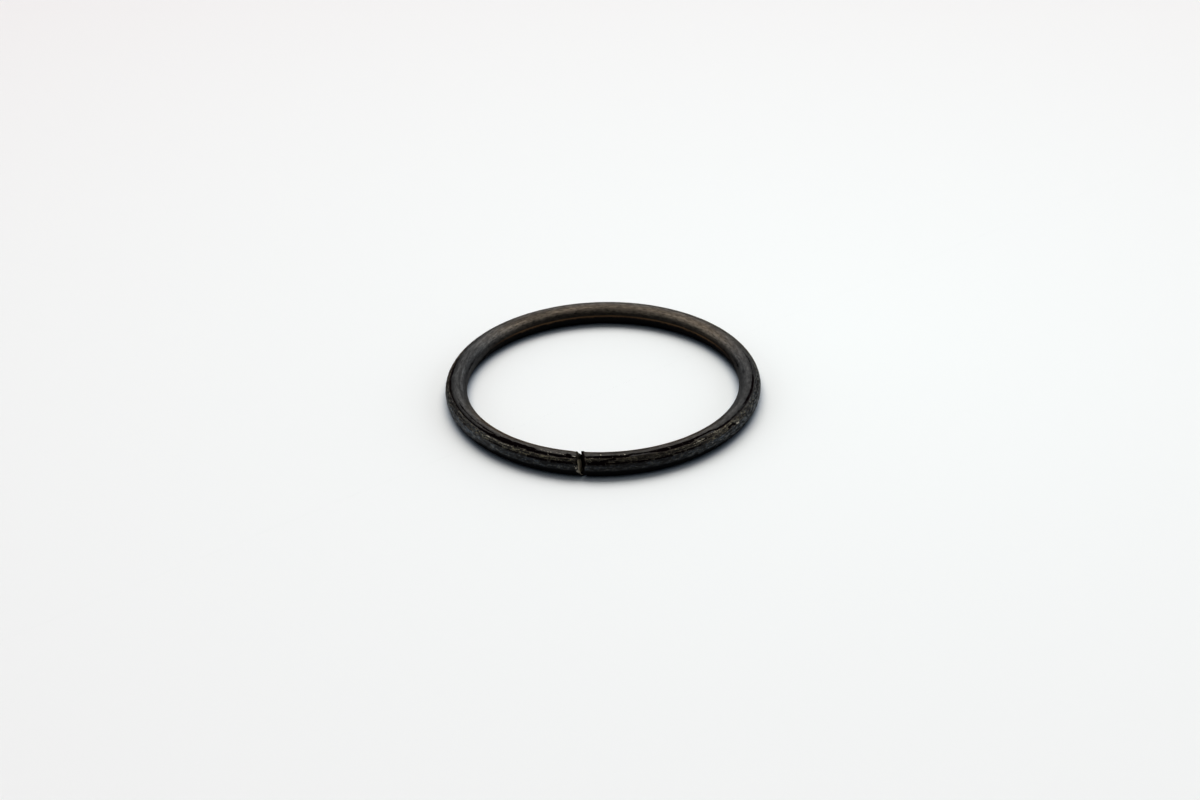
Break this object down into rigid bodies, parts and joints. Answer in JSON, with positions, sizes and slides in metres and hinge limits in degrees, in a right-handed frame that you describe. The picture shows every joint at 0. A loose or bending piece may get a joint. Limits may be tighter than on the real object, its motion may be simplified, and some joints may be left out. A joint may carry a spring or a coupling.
{
  "type": "circlip retaining ring",
  "caption": "Round-wire retaining ring of blackened spring steel: a plain split circle with no ears that snaps into a groove round a shaft.",
  "frame": {"origin": "centre of the ring, halfway up the wire", "axes": "+Z along the ring's axis, up as it lies flat; the gap between the sheared ends faces -Y"},
  "size_m": [0.029, 0.029, 0.002],
  "materials": {
    "blackened_spring_steel": "blackened and oiled, satin"
  },
  "bodies": {
    "root": {"snap_ring": "blackened_spring_steel"}
  },
  "joints": []
}
